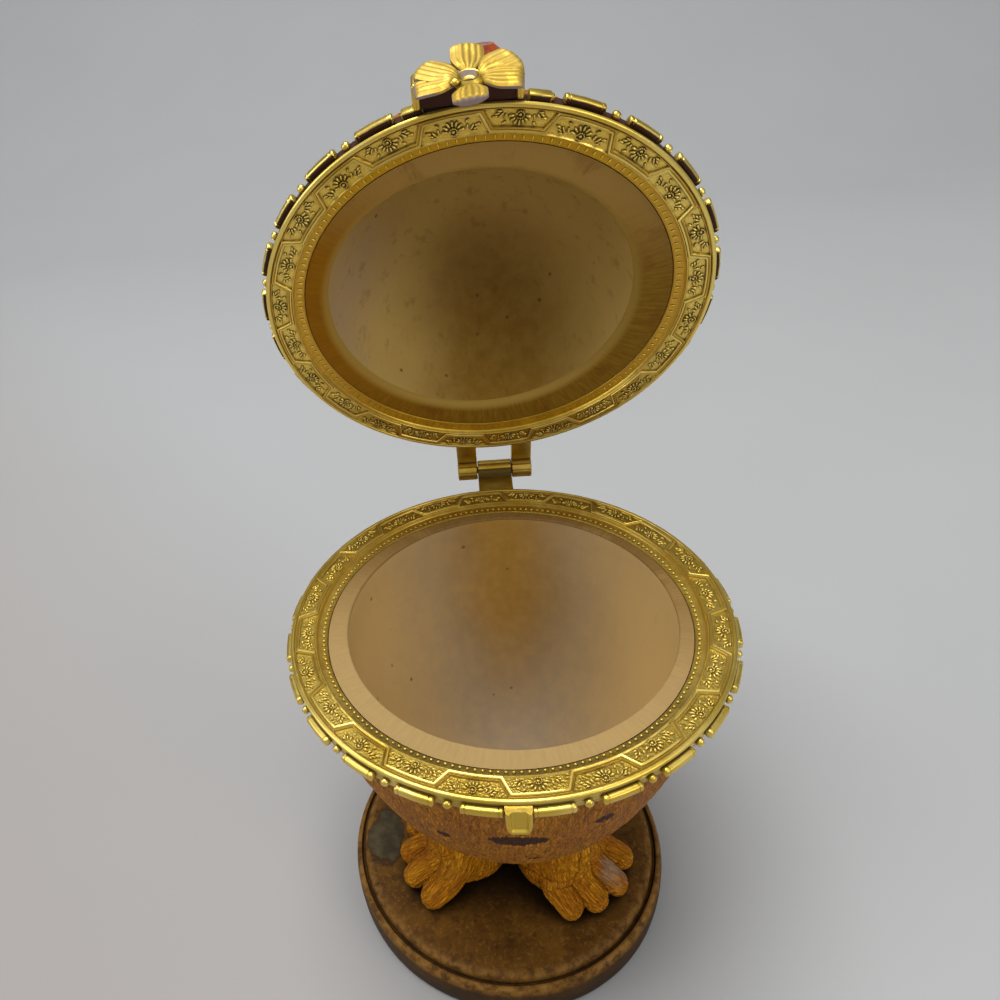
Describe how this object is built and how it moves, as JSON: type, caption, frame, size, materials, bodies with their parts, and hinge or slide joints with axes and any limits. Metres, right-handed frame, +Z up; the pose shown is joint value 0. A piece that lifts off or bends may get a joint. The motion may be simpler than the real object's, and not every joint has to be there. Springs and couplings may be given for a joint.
{
  "type": "egg_trinket_box",
  "caption": "Hinged egg-shaped trinket box on cat's paws and a round base, with gilt rims, a flower clasp and a red jewel, standing open",
  "frame": {"origin": "on the flat underside of the base, straight below the centre of the gilt rims", "axes": "+Z up, -Y towards the clasp at the front, +Y towards the hinge, +X to the right seen from the front"},
  "size_m": [0.0662, 0.0947, 0.1371],
  "materials": {
    "antique_bronze_paint": "satin",
    "tan_leopard_paint": "satin",
    "gilt_metal": "polished",
    "amber_stone": "polished"
  },
  "bodies": {
    "root": {"base_disc": "antique_bronze_paint", "egg_bowl_with_paws": "tan_leopard_paint", "lower_rim": "gilt_metal", "hinge_pin": "gilt_metal"},
    "lid": {"egg_lid": "tan_leopard_paint", "lid_rim": "gilt_metal", "flower_clasp": "gilt_metal", "jewel_collet": "gilt_metal", "amber_jewel": "amber_stone"}
  },
  "joints": [
    {"name": "lid_hinge", "type": "hinge", "parent": "root", "child": "lid", "pos_m": [0, 0.0386, 0.0648], "axis": [-1, 0, 0], "range_deg": [-69.4, 25]}
  ]
}
